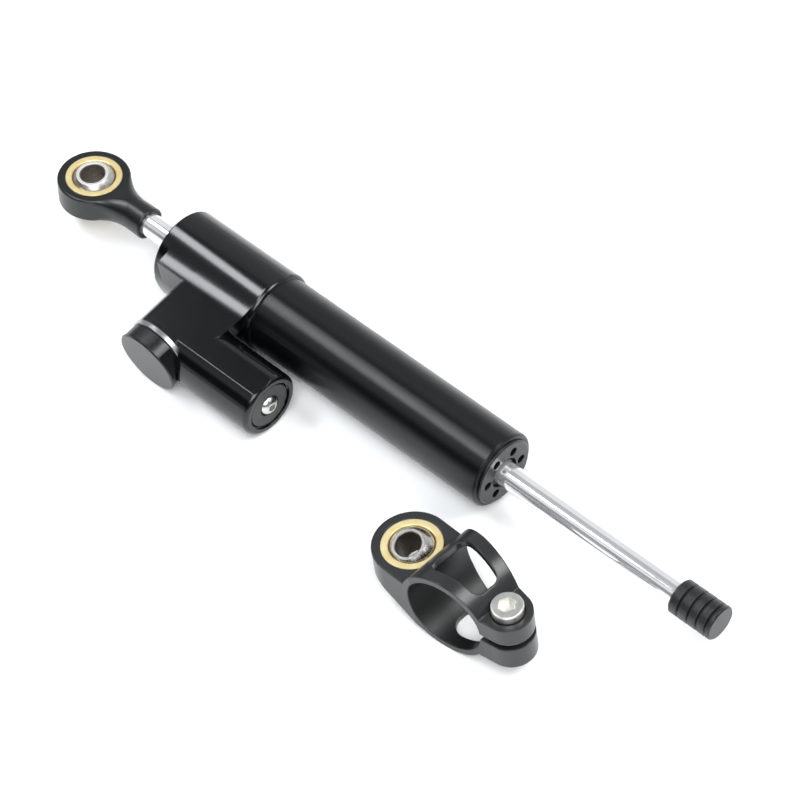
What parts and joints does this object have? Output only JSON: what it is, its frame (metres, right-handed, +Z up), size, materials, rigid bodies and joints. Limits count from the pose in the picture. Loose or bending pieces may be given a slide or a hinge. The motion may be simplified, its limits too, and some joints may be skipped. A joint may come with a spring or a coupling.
{
  "type": "steering damper",
  "caption": "Linear steering damper: through-rod cylinder with side reservoir and adjuster knob, rod end with ball joint, and a loose split clamp with its own ball joint.",
  "frame": {"origin": "centre of the ball in the rod end", "axes": "+X along the damper from the rod end to the stop knob, +Z up along the bore of the rod-end ball; the damper and the loose clamp lie on the plane z = -13.7 mm"},
  "size_m": [0.2745, 0.066, 0.0305],
  "materials": {
    "black_anodised": "satin",
    "black_anodised_bracket": "satin",
    "bright_aluminium": "satin",
    "grey_anodised": "satin",
    "hard_chrome": "polished",
    "polished_steel": "polished",
    "steel": "brushed",
    "stainless": "satin",
    "gold_brass": "turned",
    "bronze": "satin",
    "seal_rubber": "matte",
    "ptfe": "matte"
  },
  "bodies": {
    "housing": {"damper_head": "black_anodised", "damper_tube": "black_anodised", "cylinder_liner": "steel", "front_guide_bush": "bronze", "front_rod_seal": "seal_rubber", "front_wiper": "seal_rubber", "end_cap": "grey_anodised", "rear_guide_bush": "bronze", "rear_rod_seal": "seal_rubber", "rear_wiper": "seal_rubber", "end_cap_o_ring": "seal_rubber", "reservoir_spring": "steel", "reservoir_cap": "grey_anodised", "reservoir_cap_o_ring": "seal_rubber", "reservoir_snap_ring": "steel", "bleed_screw": "stainless", "adjuster_bushing": "bright_aluminium", "bushing_o_ring": "seal_rubber", "detent_spring": "steel", "detent_ball": "polished_steel", "valve_seat": "bronze"},
    "adjuster": {"adjuster_knob": "black_anodised", "adjuster_spindle": "stainless", "knob_grub_screw": "steel"},
    "needle": {"metering_needle": "stainless"},
    "separator_piston": {"floating_piston": "bright_aluminium", "floating_piston_o_ring": "seal_rubber"},
    "piston_pack": {"piston": "bright_aluminium", "piston_ring": "ptfe", "piston_valve_shims": "steel", "piston_retaining_rings": "steel"},
    "rod": {"piston_rod": "hard_chrome", "stop_knob": "black_anodised", "rod_end_housing": "black_anodised", "rod_end_race": "gold_brass"},
    "rod_end_pivot": {"rod_end_ball": "polished_steel"},
    "clamp": {"clamp_bracket": "black_anodised_bracket", "clamp_race": "gold_brass", "clamp_screw": "stainless"},
    "clamp_pivot": {"clamp_ball": "polished_steel"}
  },
  "joints": [
    {"name": "rod_slide", "type": "slide", "parent": "housing", "child": "piston_pack", "axis": [1, 0, 0], "range_m": [-0.0678, 0.0135]},
    {"name": "rod_spin", "type": "hinge", "parent": "piston_pack", "child": "rod", "pos_m": [0.139, 0, 0], "axis": [1, 0, 0], "continuous": true},
    {"name": "rod_end_swivel", "type": "hinge", "parent": "rod", "child": "rod_end_pivot", "pos_m": [0, 0, 0], "axis": [0, 1, 0], "range_deg": [-13, 13]},
    {"name": "adjuster_turn", "type": "hinge", "parent": "housing", "child": "adjuster", "pos_m": [0.0644, -0.03366, -0.00185], "axis": [0, -0.9945, -0.1045], "range_deg": [-270, 270]},
    {"name": "needle_travel", "type": "slide", "parent": "adjuster", "child": "needle", "axis": [0, -0.9945, -0.1045], "range_m": [-0.00076, 0.00076]},
    {"name": "separator_travel", "type": "slide", "parent": "housing", "child": "separator_piston", "axis": [1, 0, 0], "range_m": [-0.003, 0.003], "stiffness_N_per_m": 400, "deforming": ["reservoir_spring"]},
    {"name": "clamp_lift_off", "type": "slide", "parent": "housing", "child": "clamp", "axis": [0, 0, 1], "range_m": [0, 0.08]},
    {"name": "clamp_eye_swivel", "type": "hinge", "parent": "clamp", "child": "clamp_pivot", "pos_m": [0.17829, -0.03948, -0.00003], "axis": [0.9962, -0.0522, 0.0698], "range_deg": [-28, 0]}
  ],
  "couplings": [
    {"joint": "needle_travel", "follows": "adjuster_turn", "m_per_rad": 0.00015915}
  ]
}
